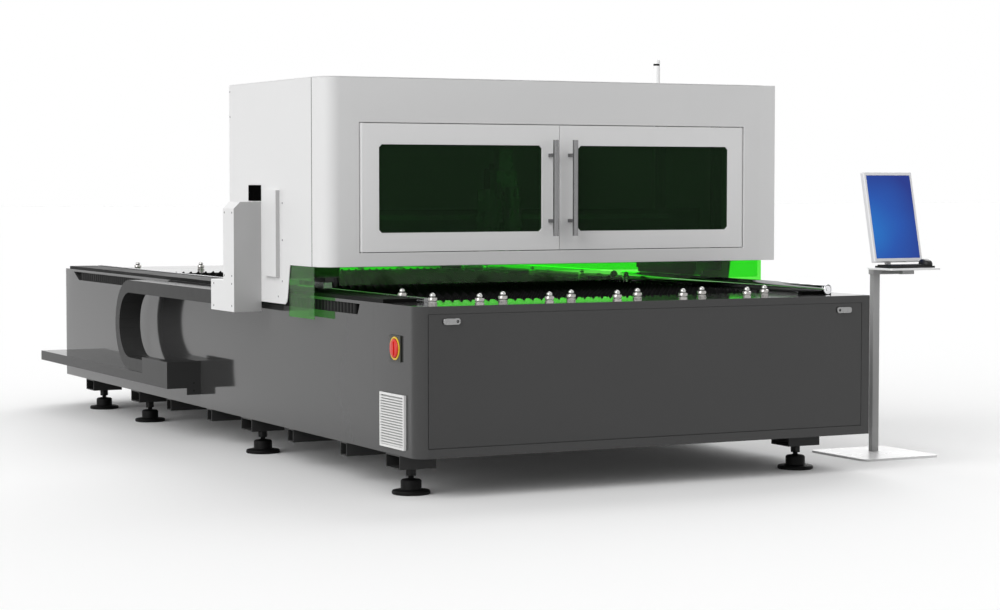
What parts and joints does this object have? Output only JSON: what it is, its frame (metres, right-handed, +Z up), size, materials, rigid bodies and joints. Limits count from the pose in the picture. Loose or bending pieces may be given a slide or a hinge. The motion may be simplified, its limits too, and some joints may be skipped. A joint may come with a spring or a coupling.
{
  "type": "fiber laser cutting machine",
  "caption": "Fiber laser cutter: toothed slat bed on levelling feet, enclosed cabin with two glazed doors travelling on side rails, side energy chain, front hatch and stand",
  "frame": {"origin": "middle of the whole object's plan outline, on the floor", "axes": "+X to the right along the front face, +Y to the rear along the bed, +Z up"},
  "size_m": [3.189, 5.079, 1.971],
  "materials": {
    "bed_paint": "gloss grey enamel",
    "cabin_paint": "smooth light grey enamel",
    "dark_steel": "dull black scale",
    "black_paint": "satin black",
    "ground_steel": "ground",
    "brushed_steel": "brushed",
    "chrome": "polished",
    "motor_black": "satin black",
    "head_metal": "anodised",
    "copper_tip": "turned",
    "window_green": "dark green safety glazing",
    "curtain_green": "clear green sheet",
    "chain_plastic": "moulded black",
    "black_plastic": "moulded black",
    "white_plastic": "moulded pale",
    "switch_yellow": "black plate, yellow ring",
    "switch_red": "moulded red",
    "foot_rubber": "black",
    "lamp": "clear coloured",
    "stand_grey": "satin grey",
    "stand_white": "satin white",
    "screen_glass": "gloss"
  },
  "bodies": {
    "bed": {"bed_front_beam": "bed_paint", "bed_left_beam": "bed_paint", "bed_right_beam": "bed_paint", "left_comb": "dark_steel", "bed_rear_deck": "bed_paint", "scrap_trough": "bed_paint", "slats": "dark_steel", "slat_supports": "dark_steel", "bed_cover_strips": "black_paint", "long_guide_rails": "ground_steel", "ball_units": "chrome", "roller_cradles": "black_paint", "vent_grille": "white_plastic", "switch_plate": "switch_yellow", "bed_foot_tubes": "black_paint", "levelling_feet": "foot_rubber", "chain_tray": "bed_paint", "chain_lower_run": "chain_plastic", "console_base": "stand_white", "console_column": "stand_grey", "console_shelf": "stand_white", "keyboard": "black_plastic", "mouse": "black_plastic"},
    "gantry": {"gantry_rail_blocks": "ground_steel", "gantry_beam": "bed_paint", "cross_rails": "ground_steel", "cabin_front_cover": "cabin_paint", "cabin_roof": "cabin_paint", "cabin_left_panel": "cabin_paint", "cabin_right_panel": "cabin_paint", "cabin_rear_cover": "cabin_paint", "cable_inlet": "black_plastic", "cabin_frame": "black_paint", "cabin_side_box": "cabin_paint", "signal_lamp": "lamp", "front_curtain": "curtain_green", "side_curtains": "curtain_green", "rear_curtain": "curtain_green", "chain_arm": "cabin_paint", "chain_upper_run": "chain_plastic"},
    "cross_carriage": {"head_carriage": "head_metal", "cross_axis_motor": "motor_black", "lift_housing": "head_metal"},
    "cutter": {"cutting_head": "head_metal", "nozzle": "copper_tip"},
    "left_door_leaf": {"left_door": "cabin_paint", "left_window": "window_green", "left_door_handle": "brushed_steel"},
    "right_door_leaf": {"right_door": "cabin_paint", "right_window": "window_green", "right_door_handle": "brushed_steel"},
    "hatch": {"front_hatch": "bed_paint"},
    "latch_left": {"left_latch": "brushed_steel"},
    "latch_right": {"right_latch": "brushed_steel"},
    "roller_front": {"side_roller_1": "chrome"},
    "roller_rear": {"side_roller_2": "chrome"},
    "switch": {"switch_knob": "switch_red"},
    "screen_unit": {"monitor": "white_plastic", "monitor_screen": "screen_glass"},
    "chain_loop": {"chain_bend": "chain_plastic"}
  },
  "joints": [
    {"name": "gantry_slide", "type": "slide", "parent": "bed", "child": "gantry", "axis": [0, 1, 0], "range_m": [-0.7, 2.315], "deforming": ["chain_upper_run"]},
    {"name": "chain_bend_slide", "type": "slide", "parent": "bed", "child": "chain_loop", "axis": [0, 1, 0], "range_m": [-0.36, 1.17], "deforming": ["chain_lower_run", "chain_upper_run"]},
    {"name": "head_slide", "type": "slide", "parent": "gantry", "child": "cross_carriage", "axis": [1, 0, 0], "range_m": [-0.75, 0.75]},
    {"name": "head_lift", "type": "slide", "parent": "cross_carriage", "child": "cutter", "axis": [0, 0, 1], "range_m": [-0.115, 0]},
    {"name": "left_door_hinge", "type": "hinge", "parent": "gantry", "child": "left_door_leaf", "pos_m": [-1.2595, -1.6435, 1.308], "axis": [0, 0, 1], "range_deg": [-95, 0]},
    {"name": "right_door_hinge", "type": "hinge", "parent": "gantry", "child": "right_door_leaf", "pos_m": [0.7615, -1.6435, 1.308], "axis": [0, 0, 1], "range_deg": [0, 95]},
    {"name": "hatch_hinge", "type": "hinge", "parent": "bed", "child": "hatch", "pos_m": [-0.2495, -2.528, 0.2195], "axis": [1, 0, 0], "range_deg": [0, 95]},
    {"name": "left_latch_turn", "type": "hinge", "parent": "hatch", "child": "latch_left", "pos_m": [-1.2135, -2.5305, 0.75], "axis": [0, 1, 0], "range_deg": [-90, 0]},
    {"name": "right_latch_turn", "type": "hinge", "parent": "hatch", "child": "latch_right", "pos_m": [0.7285, -2.5305, 0.75], "axis": [0, 1, 0], "range_deg": [0, 90]},
    {"name": "roller_1_spin", "type": "hinge", "parent": "bed", "child": "roller_front", "pos_m": [0.7655, -1.4455, 0.839], "axis": [0, 1, 0], "continuous": true},
    {"name": "roller_2_spin", "type": "hinge", "parent": "bed", "child": "roller_rear", "pos_m": [0.7655, 0.5445, 0.839], "axis": [0, 1, 0], "continuous": true},
    {"name": "switch_turn", "type": "hinge", "parent": "bed", "child": "switch", "pos_m": [-1.4195, -2.3265, 0.63], "axis": [1, 0, 0], "range_deg": [0, 90]},
    {"name": "monitor_tilt", "type": "hinge", "parent": "bed", "child": "screen_unit", "pos_m": [1.4345, -1.9405, 1.146], "axis": [1, 0, 0], "range_deg": [-17, 13]}
  ],
  "couplings": [
    {"joint": "chain_bend_slide", "follows": "gantry_slide", "ratio": 0.5}
  ]
}
